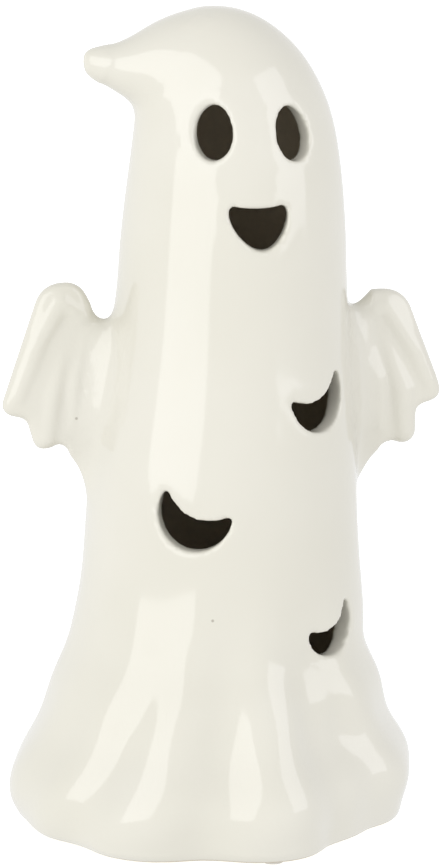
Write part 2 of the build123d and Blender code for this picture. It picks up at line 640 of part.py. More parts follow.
def light_diffuser():
    """Frosted dome with a flange in the housing's seat."""
    base = HOUSING_TOP - DIFFUSER_SEAT_DEPTH

    def dome(radius):
        straight = round_bar(radius, (0, 0), (base, base + DIFFUSER_STRAIGHT))
        return straight + Pos(0, 0, base + DIFFUSER_STRAIGHT) * Sphere(radius)

    flange = round_bar(DIFFUSER_RADIUS + DIFFUSER_FLANGE, (0, 0), (base, base + DIFFUSER_FLANGE_THICKNESS))
    ball_bottom = base + DIFFUSER_STRAIGHT - DIFFUSER_RADIUS
    below = round_bar(DIFFUSER_RADIUS, (0, 0), (ball_bottom, base))
    return (flange + dome(DIFFUSER_RADIUS)).cut(dome(DIFFUSER_RADIUS - DIFFUSER_WALL), below)


def circuit_board():
    """Board with its screw holes and the holes for the light's leads."""
    board = block(centred(BOARD_LENGTH / 2), centred(BOARD_WIDTH / 2), (BOARD_BOTTOM, BOARD_TOP))
    hole = BOARD_SCREW_RADIUS + BOARD_SCREW_CLEARANCE
    holes = [round_bar(hole, place, (BOARD_BOTTOM, BOARD_TOP)) for place in BOARD_SCREW_PLACES]
    half = LEAD_THICKNESS / 2 + LEAD_HOLE_CLEARANCE
    for side in (-1, 1):
        middle = side * LEAD_SPACING / 2
        holes.append(block((middle - half, middle + half), centred(half), (BOARD_BOTTOM, BOARD_TOP)))
    return board.cut(*holes)


def led():
    """Round light with a domed end and a flange."""
    shoulder = LED_TOP - LED_RADIUS
    bulb = round_bar(LED_RADIUS, (0, 0), (LED_BASE, shoulder)) + Pos(0, 0, shoulder) * Sphere(LED_RADIUS)
    return bulb + round_bar(LED_FLANGE_RADIUS, (0, 0), (LED_BASE, LED_BASE + LED_FLANGE_HEIGHT))


def led_leads():
    """The light's two leads, through the board."""
    half = LEAD_THICKNESS / 2
    z_span = (BOARD_BOTTOM - LEAD_TAIL, LED_BASE)
    leads = []
    for side in (-1, 1):
        middle = side * LEAD_SPACING / 2
        leads.append(block((middle - half, middle + half), centred(half), z_span))
    return Compound(leads)


def tube(points, radii, radius):
    """Round tube along straight runs joined by arcs."""
    path = FilletPolyline(*points, radius=radii)
    section = Plane(path @ 0, z_dir=path % 0) * Circle(radius)
    return sweep(section, path=path), path.length


def resistor():
    """Resistor that lies on its two bent leads."""
    x, y = RESISTOR_PLACE
    height = BOARD_TOP + RESISTOR_RISE
    left, right = x - RESISTOR_SPAN / 2, x + RESISTOR_SPAN / 2
    corners = [(left, y, BOARD_TOP), (left, y, height), (right, y, height), (right, y, BOARD_TOP)]
    lead, length = tube(corners, [RESISTOR_LEAD_RADIUS * 2] * 2, RESISTOR_LEAD_RADIUS)
    middle = Plane((x - RESISTOR_LENGTH / 2, y, height), z_dir=(1, 0, 0))
    return lead + Solid.make_cylinder(RESISTOR_RADIUS, RESISTOR_LENGTH, middle)


def timer_chip():
    """Small flat chip with legs along its two long sides."""
    x, y = CHIP_PLACE
    body_z = (BOARD_TOP + CHIP_STANDOFF, BOARD_TOP + CHIP_STANDOFF + CHIP_HEIGHT)
    half_width = CHIP_WIDTH / 2
    body = block((x - CHIP_LENGTH / 2, x + CHIP_LENGTH / 2), (y - half_width, y + half_width), body_z)
    legs = []
    for step in range(CHIP_LEG_COUNT):
        middle = x + (step - (CHIP_LEG_COUNT - 1) / 2) * CHIP_LEG_PITCH
        x_span = (middle - CHIP_LEG_WIDTH / 2, middle + CHIP_LEG_WIDTH / 2)
        y_span = (y - half_width - CHIP_LEG_REACH, y + half_width + CHIP_LEG_REACH)
        legs.append(block(x_span, y_span, (BOARD_TOP, BOARD_TOP + CHIP_LEG_THICKNESS)))
    return body.fuse(*legs)


def battery_cells():
    """Two cells side by side along X, with their positive ends opposite ways."""
    cells = []
    for way in (-1, 1):
        start = Vector(way * (CONTACT_FACE - CELL_LENGTH), way * CELL_OFFSET, CELL_AXIS)
        axis = Plane(start, z_dir=(way, 0, 0))
        can = Solid.make_cylinder(CELL_RADIUS, CELL_LENGTH - CELL_NUB_LENGTH, axis)
        can = fillet(can.edges().filter_by(GeomType.CIRCLE), CELL_EDGE)
        cells.append(can + Solid.make_cylinder(CELL_NUB_RADIUS, CELL_LENGTH, axis))
    return Compound(cells)


def end_contact(side):
    """Contact plate at the tub's -X end, with a lug bent over above the tub's ceiling."""
    y = side * CELL_OFFSET
    plate_x = (-TUB_HALF_LENGTH, -CONTACT_FACE)
    plate_z = (CELL_AXIS - CONTACT_HEIGHT / 2, TUB_CEILING)
    plate = block(plate_x, (y - CONTACT_WIDTH / 2, y + CONTACT_WIDTH / 2), plate_z)
    lug_y = (y - LUG_WIDTH / 2, y + LUG_WIDTH / 2)
    lug = block(plate_x, lug_y, (TUB_CEILING, LUG_TOP))
    tab_x = (-TUB_HALF_LENGTH, LUG_REACH - TUB_HALF_LENGTH)
    tab = block(tab_x, lug_y, (LUG_TOP - CONTACT_THICKNESS, LUG_TOP))
    return plate.fuse(lug, tab)


def positive_contact():
    """Plate that the first cell's nub presses on."""
    return end_contact(-1)


def negative_contact():
    """Plate that carries the second cell's spring."""
    return end_contact(1)


def bridge_contact():
    """Plate across the tub's +X end that joins the two cells."""
    y_half = CELL_OFFSET + CONTACT_WIDTH / 2
    z_span = (CELL_AXIS - CONTACT_HEIGHT / 2, CELL_AXIS + CONTACT_HEIGHT / 2)
    return block((CONTACT_FACE, TUB_HALF_LENGTH), centred(y_half), z_span)


def biarc(start, start_way, end, end_way):
    """Two tangent arcs that leave one point and reach another along given directions."""
    chord, ways = end - start, start_way + end_way
    bend = 2 * (1 - start_way.dot(end_way))
    along = chord.dot(ways)
    reach = (sqrt(along**2 + bend * chord.dot(chord)) - along) / bend
    leaving, arriving = start + start_way * reach, end - end_way * reach
    joint = (leaving + arriving) / 2
    return [TangentArc(start, joint, tangent=start_way), TangentArc(joint, end, tangent=arriving - leaving)]


def contact_spring(way):
    """Tapered coil from a contact plate to a cell's flat end. It narrows towards the cell."""
    lift = SPRING_WIRE_RADIUS + SPRING_SEAT_GAP
    length = SPRING_LENGTH - 2 * lift
    quarters = 4 * SPRING_TURNS

    def place(share):
        angle = 2 * pi * SPRING_TURNS * share
        radius = SPRING_WIDE_RADIUS + (SPRING_NARROW_RADIUS - SPRING_WIDE_RADIUS) * share
        x = way * (CONTACT_FACE - lift - length * share)
        return Vector(x, -way * CELL_OFFSET + radius * cos(angle), CELL_AXIS + radius * sin(angle))

    def heading(share):
        step = 1e-5
        return (place(share + step) - place(share - step)).normalized()

    edges = []
    for quarter in range(quarters):
        near, far = quarter / quarters, (quarter + 1) / quarters
        edges += biarc(place(near), heading(near), place(far), heading(far))
    path = Wire(edges)
    coil = sweep(Plane(path @ 0, z_dir=path % 0) * Circle(SPRING_WIRE_RADIUS), path=path)
    gaps = []
    for step in range(quarters - quarters // SPRING_TURNS + 1):
        share = step / quarters
        gaps.append((place(share) - place(share + 1 / SPRING_TURNS)).length)
    print("spring: least gap between turns", round(min(gaps) - 2 * SPRING_WIRE_RADIUS, 3))
    return coil


def contact_springs():
    """One spring on the bridge plate and one on the negative plate."""
    return Compound([contact_spring(1), contact_spring(-1)])


def switch_case():
    """Switch body on the cover, open below for its slider."""
    half_length, half_width = SWITCH_LENGTH / 2, SWITCH_WIDTH / 2
    y_span = (SWITCH_Y - half_width, SWITCH_Y + half_width)
    case = block(centred(half_length), y_span, (FLOOR_UNDERSIDE, SWITCH_TOP))
    inner_y = (y_span[0] + SWITCH_WALL, y_span[1] - SWITCH_WALL)
    inner_z = (FLOOR_UNDERSIDE, SWITCH_TOP - SWITCH_WALL)
    return case - block(centred(half_length - SWITCH_WALL), inner_y, inner_z)


def switch_slider():
    """Slider at its off end: a carriage in the switch and a stem through the cover's slot."""
    middle = -SWITCH_TRAVEL / 2
    bottom = FLOOR_UNDERSIDE + SLIDER_CLEARANCE
    half_length = SWITCH_LENGTH / 2 - SWITCH_WALL - SWITCH_TRAVEL / 2 - SLIDER_CLEARANCE
    half_width = SWITCH_WIDTH / 2 - SWITCH_WALL - SLIDER_CLEARANCE
    y_span = (SWITCH_Y - half_width, SWITCH_Y + half_width)
    carriage = block((middle - half_length, middle + half_length), y_span, (bottom, bottom + SLIDER_HEIGHT))
    half_stem = SLIDER_STEM / 2
    stem_y = (SWITCH_Y - half_stem, SWITCH_Y + half_stem)
    stem_z = (COVER_BOTTOM - SLIDER_PROUD, bottom)
    return carriage + block((middle - half_stem, middle + half_stem), stem_y, stem_z)


def switch_terminals():
    """Three flat terminals that stand on the switch."""
    half_width, half_thickness = TERMINAL_WIDTH / 2, TERMINAL_THICKNESS / 2
    y_span = (SWITCH_Y - half_thickness, SWITCH_Y + half_thickness)
    terminals = []
    for step in (-1, 0, 1):
        middle = step * TERMINAL_PITCH
        x_span = (middle - half_width, middle + half_width)
        terminals.append(block(x_span, y_span, (SWITCH_TOP, TERMINAL_TOP)))
    return Compound(terminals)


def wire(name, points):
    """Wire along hand-chosen points, with arcs as large as its runs allow."""
    points = [Vector(*point) for point in points]
    radii = []
    for before, here, after in zip(points, points[1:], points[2:]):
        turn = radians((here - before).get_angle(after - here))
        shorter = min((here - before).length, (after - here).length)
        radii.append(WIRE_BEND_SHARE * shorter / tan(turn / 2))
    solid, length = tube(points, radii, WIRE_RADIUS)
    fill = solid.volume / (pi * WIRE_RADIUS**2 * length)
    print(name, "length", round(length, 1), "radii", [round(r, 1) for r in radii], "fill", round(fill, 4))
    return solid


def lug_place(side):
    """Middle of a contact lug's tab, where a wire is soldered on."""
    return (LUG_REACH / 2 + CONTACT_THICKNESS / 2 - TUB_HALF_LENGTH, side * CELL_OFFSET, LUG_TOP)


def red_wire():
    """From the positive contact to the board."""
    x, y, z = lug_place(-1)
    pad_x, pad_y = BOARD_PAD_POSITIVE
    top = z + WIRE_ARCH
    return wire("red wire", [(x, y, z), (x, y, top), (pad_x, pad_y, top), (pad_x, pad_y, BOARD_TOP)])


def black_wire():
    """From the negative contact to the switch."""
    x, y, z = lug_place(1)
    top = z + WIRE_ARCH
    end = (-TERMINAL_PITCH, SWITCH_Y, TERMINAL_TOP)
    above_end = (end[0], end[1], end[2] + WIRE_RISE)
    bend = ((x + end[0]) / 2, (y + end[1]) / 2, top)
    return wire("black wire", [(x, y, z), (x, y, top), bend, above_end, end])


def switch_wire():
    """From the switch to the board."""
    pad_x, pad_y = BOARD_PAD_SWITCH
    top = BOARD_TOP + WIRE_ARCH
    start = (0, SWITCH_Y, TERMINAL_TOP)
    above_start = (0, SWITCH_Y, TERMINAL_TOP + WIRE_RISE)
    bend = (pad_x / 2, (pad_y + SWITCH_Y) / 2, top)
    return wire("switch wire", [start, above_start, bend, (pad_x, pad_y, top), (pad_x, pad_y, BOARD_TOP)])


NODES = [
    ceramic_body,
    foot_pads,
    base_cover,
    cover_screws,
    battery_door,
    lamp_housing,
    grip_ring,
    light_diffuser,
    circuit_board,
    board_screws,
    led,
    led_leads,
    resistor,
    timer_chip,
    battery_cells,
    positive_contact,
    negative_contact,
    bridge_contact,
    contact_springs,
    switch_case,
    switch_slider,
    switch_terminals,
    red_wire,
    black_wire,
    switch_wire,
]

os.makedirs("parts", exist_ok=True)
for node in NODES:
    export_step(node(), f"parts/{node.__name__}.step")
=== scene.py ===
import math

import bpy
import numpy as np
from bpy.props import FloatProperty, FloatVectorProperty, IntProperty, PointerProperty
from bpy.types import Operator, Panel, PropertyGroup
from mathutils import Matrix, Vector


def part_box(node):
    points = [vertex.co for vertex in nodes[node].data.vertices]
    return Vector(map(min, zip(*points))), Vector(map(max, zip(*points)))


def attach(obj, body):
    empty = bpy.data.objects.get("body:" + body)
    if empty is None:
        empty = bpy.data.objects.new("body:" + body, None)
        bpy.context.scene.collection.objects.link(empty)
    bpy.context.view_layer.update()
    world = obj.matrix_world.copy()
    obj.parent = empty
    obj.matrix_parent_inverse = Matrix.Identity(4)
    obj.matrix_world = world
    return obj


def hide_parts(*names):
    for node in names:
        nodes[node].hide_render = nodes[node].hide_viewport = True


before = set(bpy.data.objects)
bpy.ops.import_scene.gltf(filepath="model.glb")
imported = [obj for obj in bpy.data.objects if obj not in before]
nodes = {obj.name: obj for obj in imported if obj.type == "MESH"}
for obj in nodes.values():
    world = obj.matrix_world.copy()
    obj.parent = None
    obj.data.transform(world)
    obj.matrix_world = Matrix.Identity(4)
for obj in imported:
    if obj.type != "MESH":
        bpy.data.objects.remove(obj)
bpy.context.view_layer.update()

bl_info = {
    "name": "Ceramic Ghost Lantern",
    "version": (1, 0, 0),
    "blender": (4, 5, 0),
    "location": "3D View > Sidebar > Ghost",
    "description": "Glazed ceramic ghost with a battery lamp in its foot",
    "category": "Object",
}

MM = 0.001
# Places of two pinholes in the glaze, and the levels and radius where the clay is bare
PINHOLES = ((-0.0323, -0.0027, 0.0912), (-0.0078, -0.0305, 0.0517))
FOOT_WIPE = 1.3 * MM
FLOOR_TOP = 10.6 * MM
RECESS_RADIUS = 36.2 * MM
# Attribute that holds each point's distance from the hollow's wall, in millimetres
HOLLOW = "hollow"
# Turn in degrees along one mesh edge that counts as a rim, and the points beside it that count too
RIM_TURN = 8.5
RIM_SPREAD = 4
# Share of the skin's smoothing that the wings' ridges are spared
RIDGE_KEEP = 0.85
# Share of the hidden triangles that the thinning takes away, and the hollow's skin in millimetres
HIDDEN_THINNING = 0.85
HOLLOW_SKIN = 0.2


def colour(name, description, default):
    """Colour property in scene-linear values."""
    return FloatVectorProperty(
        name=name, description=description, subtype="COLOR", size=3, min=0, max=1, default=default
    )


def length(name, description, default):
    """Length property in metres."""
    return FloatProperty(
        name=name, description=description, unit="LENGTH", subtype="DISTANCE", min=0, default=default
    )


def amount(name, description, default):
    """Plain number that isn't negative."""
    return FloatProperty(name=name, description=description, min=0, default=default)


def rounds(name, description, default):
    """Count of smoothing passes."""
    return IntProperty(name=name, description=description, min=0, default=default)


class GlazeSettings(PropertyGroup):
    """The ceramic figure's shape and finish."""

    voxel: length("Voxel", "Size of the remeshed figure's cells", 0.6 * MM)
    rim_rounds: rounds("Rim rounds", "Smoothing passes that round every rim", 9)
    skin_rounds: rounds("Skin rounds", "Smoothing passes on the plain skin", 100)
    saddle_rounds: rounds("Saddle rounds", "Smoothing passes where wings and tip join the body", 240)
    triangles: IntProperty(
        name="Triangles", description="Triangles of the finished figure", min=1, default=190000
    )
    ivory: colour("Ivory", "Glaze where it lies thick", (0.650, 0.632, 0.553))
    pale: colour("Pale", "Glaze where it lies thin", (0.675, 0.657, 0.585))
    clay: colour("Clay", "Bare fired clay in the hollow and under the foot", (0.520, 0.450, 0.335))
    gloss: amount("Gloss roughness", "Roughness of the glaze", 0.10)
    coat: amount("Coat", "Weight of the glaze's clear coat", 0.3)
    ripple: length("Ripple", "Height of the glaze's ripples", 0.10 * MM)


class LampSettings(PropertyGroup):
    """Colours of the battery lamp."""

    plastic: colour("Plastic", "Moulded lamp plastic", (0.66, 0.64, 0.58))
    frost: colour("Frost", "Frosted diffuser", (0.78, 0.75, 0.66))
    silicone: colour("Silicone", "Grip ring, and paler in the foot pads", (0.50, 0.49, 0.46))
    board: colour("Board", "Solder mask", (0.020, 0.130, 0.050))
    jacket: colour("Jacket", "Battery jacket", (0.020, 0.024, 0.050))
    band: colour("Band", "Battery band at its positive end", (0.45, 0.26, 0.07))
    steel: colour("Steel", "Plated steel", (0.58, 0.58, 0.57))
    brass: colour("Brass", "Switch terminals", (0.62, 0.46, 0.20))


class StageSettings(PropertyGroup):
    """Camera, floor and lights."""

    azimuth: FloatProperty(
        name="Azimuth",
        description="Camera's turn from the face",
        subtype="ANGLE",
        default=math.radians(-11.5),
    )
    distance: length("Distance", "Camera's level distance from the axis", 0.800)
    height: length("Height", "Camera's height", 0.24794)
    target: length("Target", "Height that the camera aims at", 0.08594)
    lens: amount("Lens", "Focal length in millimetres", 154.3)
    floor: colour("Floor", "Pale floor", (0.95, 0.95, 0.95))
    glow: amount("Glow", "Light that the floor gives off by itself", 0.70)
    sky_near: amount("Sky near", "Light around the set on its bright side", 1.11)
    sky_far: amount("Sky far", "Light around the set on its dim side", 0.97)
    sky_shade: amount("Sky shade", "Loss of light overhead", 0.33)


class Value:
    """A shader socket that takes part in sums and products."""

    def __init__(self, finish, socket):
        self.finish = finish
        self.socket = socket

    def math(self, operation, first, second=0.0):
        made = self.finish.node("ShaderNodeMath", {"operation": operation}, {0: first, 1: second})
        return Value(self.finish, made.outputs[0])

    def __add__(self, other):
        return self.math("ADD", self, other)

    def __radd__(self, other):
        return self.math("ADD", other, self)

    def __sub__(self, other):
        return self.math("SUBTRACT", self, other)

    def __rsub__(self, other):
        return self.math("SUBTRACT", other, self)

    def __mul__(self, other):
        return self.math("MULTIPLY", self, other)

    def __rmul__(self, other):
        return self.math("MULTIPLY", other, self)

    def __gt__(self, other):
        return self.math("GREATER_THAN", self, other)

    def __lt__(self, other):
        return self.math("LESS_THAN", self, other)

    def power(self, other):
        return self.math("POWER", self, other)

    def sign(self):
        return self.math("SIGN", self)

    def smallest(self, other):
        return self.math("MINIMUM", self, other)

    def largest(self, other):
        return self.math("MAXIMUM", self, other)

    def fade(self, low, high):
        """Runs smoothly from 0 at one value to 1 at another."""
        made = self.finish.node(
            "ShaderNodeMapRange",
            {"interpolation_type": "SMOOTHSTEP"},
            {"Value": self, "From Min": low, "From Max": high},
        )
        return Value(self.finish, made.outputs[0])


class Graph:
    """A tree of shader nodes around one shader."""

    def __init__(self, tree, shader, coordinates):
        self.tree = tree
        self.shader = tree.nodes[shader]
        self.place = Value(self, self.node("ShaderNodeTexCoord").outputs[coordinates])

    def node(self, kind, settings=None, inputs=None):
        """Adds a node, sets its settings and then its sockets' values or links."""
        made = self.tree.nodes.new(kind)
        for name, value in (settings or {}).items():
            setattr(made, name, value)
        for name, value in (inputs or {}).items():
            if isinstance(value, Value):
                self.tree.links.new(value.socket, made.inputs[name])
            else:
                made.inputs[name].default_value = value
        return made

    def feed(self, socket, value):
        """Links a changing value to one of the shader's sockets."""
        self.tree.links.new(value.socket, self.shader.inputs[socket])

    def toward(self, direction):
        """How far the place lies along a direction."""
        made = self.node("ShaderNodeVectorMath", {"operation": "DOT_PRODUCT"}, {0: self.place, 1: direction})
        return Value(self, made.outputs["Value"])


class Finish(Graph):
    """A procedural material around one Principled shader."""

    def __init__(self, name, **constants):
        self.material = bpy.data.materials.new(name)
        self.material.use_nodes = True
        super().__init__(self.material.node_tree, "Principled BSDF", "Object")
        for socket, value in constants.items():
            self.shader.inputs[socket.replace("_", " ")].default_value = value

    def noise(self, scale, detail=2.0, rough=0.5):
        """Soft noise over the piece, with its scale in cycles a metre."""
        inputs = {"Vector": self.place, "Scale": scale, "Detail": detail, "Roughness": rough}
        return Value(self, self.node("ShaderNodeTexNoise", None, inputs).outputs[0])

    def spots(self, scale):
        """Distance to the nearest of scattered points, in parts of their spacing."""
        made = self.node("ShaderNodeTexVoronoi", None, {"Vector": self.place, "Scale": scale})
        return Value(self, made.outputs["Distance"])

    def along(self, axis):
        """One coordinate of the place: X, Y or Z."""
        made = self.node("ShaderNodeSeparateXYZ", None, {0: self.place})
        return Value(self, made.outputs[axis])

    def from_axis(self):
        """Distance from the upright axis."""
        squares = self.along("X").power(2.0) + self.along("Y").power(2.0)
        return squares.power(0.5)

    def attribute(self, name):
        """A number that the mesh keeps at its points."""
        made = self.node("ShaderNodeAttribute", {"attribute_name": name})
        return Value(self, made.outputs["Fac"])

    def distance_to(self, point):
        """Distance from a fixed point."""
        made = self.node("ShaderNodeVectorMath", {"operation": "DISTANCE"}, {0: self.place, 1: point})
        return Value(self, made.outputs["Value"])

    def mix(self, share, first, second):
        """Colour between two colours."""
        colours = [value if isinstance(value, Value) else (*value, 1.0) for value in (first, second)]
        made = self.node("ShaderNodeMix", {"data_type": "RGBA"}, {0: share, 6: colours[0], 7: colours[1]})
        return Value(self, made.outputs[2])

    def bump(self, height, depth, strength=1.0):
        """Bumps the surface by a height from 0 to 1 times a depth in metres."""
        made = self.node("ShaderNodeBump", None, {"Strength": strength, "Distance": depth, "Height": height})
        self.feed("Normal", Value(self, made.outputs[0]))


def shaded(tint, factor):
    """A darker or lighter copy of a colour."""
    return tuple(min(1.0, part * factor) for part in tint)


def glazed_clay(settings):
    """Glossy glaze with faint ripples and pinholes, over clay that is bare inside and under the foot."""
    finish = Finish("glazed_clay", IOR=1.52, Coat_Roughness=0.02, Coat_IOR=1.5)
    cloud = finish.noise(22.0, 3.0)
    skin = finish.mix(cloud.fade(0.35, 0.7), settings.ivory, settings.pale)
    for place in PINHOLES:
        pinhole = 1 - finish.distance_to(place).fade(0.18 * MM, 0.42 * MM)
        skin = finish.mix(pinhole * 0.55, skin, shaded(settings.clay, 0.4))
    wiped = 1 - finish.along("Z").fade(FOOT_WIPE - 0.3 * MM, FOOT_WIPE + 0.3 * MM)
    hollow = 1 - finish.attribute(HOLLOW).fade(0.25, 0.55)
    floor = (finish.along("Z") < FLOOR_TOP) * (finish.from_axis() < RECESS_RADIUS)
    bare = wiped.largest(hollow).largest(floor)
    grit = finish.noise(900.0, 3.0)
    clay = finish.mix(grit, shaded(settings.clay, 0.85), settings.clay)
    finish.feed("Base Color", finish.mix(bare, skin, clay))
    finish.feed("Roughness", settings.gloss + finish.noise(90.0) * 0.02 + bare * 0.7)
    finish.feed("Coat Weight", (1 - bare) * settings.coat)
    finish.bump(finish.noise(70.0, 1.0), settings.ripple)
    return finish.material


def moulded(name, tint, grain=0.02 * MM, rough=0.42, **constants):
    """Moulded plastic with a fine spark-eroded grain."""
    finish = Finish(name, **constants)
    fine = finish.noise(2600.0, 2.0)
    cloud = finish.noise(60.0, 2.0)
    finish.feed("Base Color", finish.mix(cloud, shaded(tint, 0.94), tint))
    finish.feed("Roughness", rough + fine * 0.12)
    finish.bump(fine, grain)
    return finish.material


def plated(name, tint):
    """Plated metal with fine drawn lines and dull patches."""
    finish = Finish(name, Metallic=1.0)
    patches = finish.noise(260.0, 3.0)
    finish.feed("Base Color", finish.mix(patches, shaded(tint, 0.8), tint))
    finish.feed("Roughness", 0.24 + patches * 0.2)
    finish.bump(finish.noise(3200.0), 0.008 * MM)
    return finish.material


def cell_jacket(settings):
    """Battery jacket: a dark film, a band at the positive end and bare metal ends."""
    finish = Finish("cell_jacket")
    low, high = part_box("battery_cells")
    middle = (low.y + high.y) / 2
    toward_positive = finish.along("X") * (finish.along("Y") - middle).sign()
    film_end = high.x - 1.6 * MM
    can_end = high.x - 5.0 * MM - 44.5 * MM + 5.6 * MM
    band = toward_positive > 0.011
    film = finish.mix(band, settings.jacket, settings.band)
    bare = (toward_positive > film_end) + (toward_positive < can_end)
    bare = bare.smallest(1.0)
    finish.feed("Base Color", finish.mix(bare, film, settings.steel))
    finish.feed("Metallic", bare)
    finish.feed("Roughness", 0.22 + finish.noise(300.0) * 0.15)
    return finish.material


def solder_mask(settings):
    """Green board with paler copper tracks under the mask."""
    finish = Finish("solder_mask", Coat_Weight=0.3, Coat_Roughness=0.15)
    weave = finish.noise(1500.0, 1.0)
    tracks = finish.spots(320.0).fade(0.30, 0.36)
    finish.feed("Base Color", finish.mix(tracks, shaded(settings.board, 1.7), settings.board))
    finish.feed("Roughness", 0.35 + weave * 0.1)
    finish.bump(weave, 0.01 * MM)
    return finish.material


def pick(piece):
    """Makes one object the only selected and active one."""
    bpy.ops.object.select_all(action="DESELECT")
    piece.select_set(True)
    bpy.context.view_layer.objects.active = piece


def copy_node(node, name):
    """Free copy of a CAD node's mesh, with its loose triangles merged."""
    pick(nodes[node])
    bpy.ops.object.duplicate()
    copy = bpy.context.active_object
    copy.name = name
    copy.parent = None
    for key in list(copy.keys()):
        del copy[key]
    copy.data.materials.clear()
    bpy.ops.object.mode_set(mode="EDIT")
    bpy.ops.mesh.select_all(action="SELECT")
    bpy.ops.mesh.remove_doubles(threshold=0.002 * MM)
    bpy.ops.object.mode_set(mode="OBJECT")
    return copy


def apply_modifier(piece, kind, **settings):
    """Adds a modifier, sets it and applies it."""
    made = piece.modifiers.new(kind.title(), kind)
    for name, value in settings.items():
        setattr(made, name, value)
    pick(piece)
    bpy.ops.object.modifier_apply(modifier=made.name)


def read_points(piece):
    """Points and normals of a mesh as arrays, in millimetres."""
    count = len(piece.data.vertices)
    points = np.zeros(count * 3, np.float32)
    piece.data.vertices.foreach_get("co", points)
    normals = np.zeros(count * 3, np.float32)
    piece.data.vertex_normals.foreach_get("vector", normals)
    return points.reshape(-1, 3) / MM, normals.reshape(-1, 3)


def weigh(piece, name, weights):
    """Vertex group with ten steps of weight."""
    group = piece.vertex_groups.new(name=name)
    steps = np.round(np.clip(weights, 0, 1) * 10).astype(int)
    for step in range(1, 11):
        members = np.nonzero(steps == step)[0]
        group.add(members.tolist(), step / 10, "REPLACE")
    return group.name


def plain_skin(piece, normals, limit_deg, spread):
    """Weight of the plain skin: 0 near rims and edges, where the normals turn quickly."""
    edges = np.zeros(len(piece.data.edges) * 2, np.int32)
    piece.data.edges.foreach_get("vertices", edges)
    first, second = edges.reshape(-1, 2).T
    turn = np.einsum("ij,ij->i", normals[first], normals[second])
    sharp = np.zeros(len(normals), bool)
    rough = turn < math.cos(math.radians(limit_deg))
    sharp[first[rough]] = True
    sharp[second[rough]] = True
    for _ in range(spread):
        beside = sharp[first] | sharp[second]
        sharp[first[beside]] = True
        sharp[second[beside]] = True
    return (~sharp).astype(float)


def ramp(values, low, high):
    """Smooth rise from 0 to 1 between two values."""
    share = np.clip((values - low) / (high - low), 0, 1)
    return share * share * (3 - 2 * share)


def flank(heights):
    """Body's lean and outer radius along the wings' height, in millimetres."""
    lean = 0.3 + 0.0442 * (heights - 66.0)
    radius = 30.2 - 0.0923 * (heights - 66.0)
    return lean, radius


def off_body(points):
    """How far points stand outside the body's flanks, in millimetres."""
    x, y, z = points.T
    lean, radius = flank(z)
    return np.hypot(x - lean, y) - radius


def wing_weights(points):
    """Where the wings' ridges are, and the smoothing is weak."""
    z = points[:, 2]
    return ramp(off_body(points), 3.0, 6.0) * ramp(z, 70.0, 74.0) * (1 - ramp(z, 124.0, 128.0))


def saddle_weights(points):
    """Where wings and hooked tip join the body, and the smoothing is strong."""
    x, y, z = points.T
    outside = off_body(points)
    roots = ramp(outside, -4.0, -2.0) * (1 - ramp(outside, 3.0, 6.0))
    roots *= (1 - ramp(np.abs(y), 7.0, 12.0)) * ramp(z, 64.0, 70.0) * (1 - ramp(z, 122.0, 128.0))
    tip = ramp(x, -22.0, -18.0) * (1 - ramp(x, -8.0, -4.0)) * ramp(z, 152.0, 157.0)
    tip *= ramp(np.hypot(x - 2.0, y), 14.0, 16.0) + ramp(z, 168.0, 171.0)
    return np.maximum(roots, np.clip(tip, 0, 1))


def hollow_profile(piece):
    """Heights, middles, radii and top of the hollow, in millimetres, found by rays from its axis."""
    found, top, _, _ = piece.ray_cast((0, 0, 0.1), (0, 0, 1))
    if not found:
        raise RuntimeError("The hollow has no crown")
    heights = np.arange(14.0, top.z / MM, 3.0)
    flanks = []
    for height in heights:
        hits = [piece.ray_cast((0, 0, height * MM), (side, 0, 0)) for side in (-1, 1)]
        flanks.append([hit[1].x / MM for hit in hits])
    left, right = np.array(flanks).T
    return heights, (left + right) / 2, (right - left) / 2, top.z / MM


def off_hollow(points, profile):
    """How far points stand outside the hollow's wall, in millimetres."""
    heights, middles, radii, top = profile
    x, y, z = points.T
    middle = np.interp(z, heights, middles)
    radius = np.interp(z, (*heights, top), (*radii, 0.0))
    return np.hypot(x - middle, y) - radius + np.maximum(z - top, 0)


def mark_hollow(piece, profile):
    """Keeps each point's distance from the hollow's wall as an attribute."""
    points, _ = read_points(piece)
    marks = piece.data.attributes.new(HOLLOW, "FLOAT", "POINT")
    marks.data.foreach_set("value", off_hollow(points, profile).astype(np.float32))


def thin_out(piece, profile, triangles):
    """Thins the mesh, first in the hollow and under the floor, then all over."""
    points, _ = read_points(piece)
    x, y, z = points.T
    floor = (z < FLOOR_TOP / MM) & (np.hypot(x, y) < RECESS_RADIUS / MM)
    hollow = off_hollow(points, profile) < HOLLOW_SKIN
    hidden = weigh(piece, "hidden", hollow | floor)
    inside = np.count_nonzero(hollow) + np.count_nonzero(floor)
    kept = 1 - HIDDEN_THINNING * inside / len(points)
    apply_modifier(piece, "DECIMATE", ratio=kept, vertex_group=hidden)
    apply_modifier(piece, "TRIANGULATE")
    apply_modifier(piece, "DECIMATE", ratio=min(1.0, triangles / len(piece.data.polygons)))


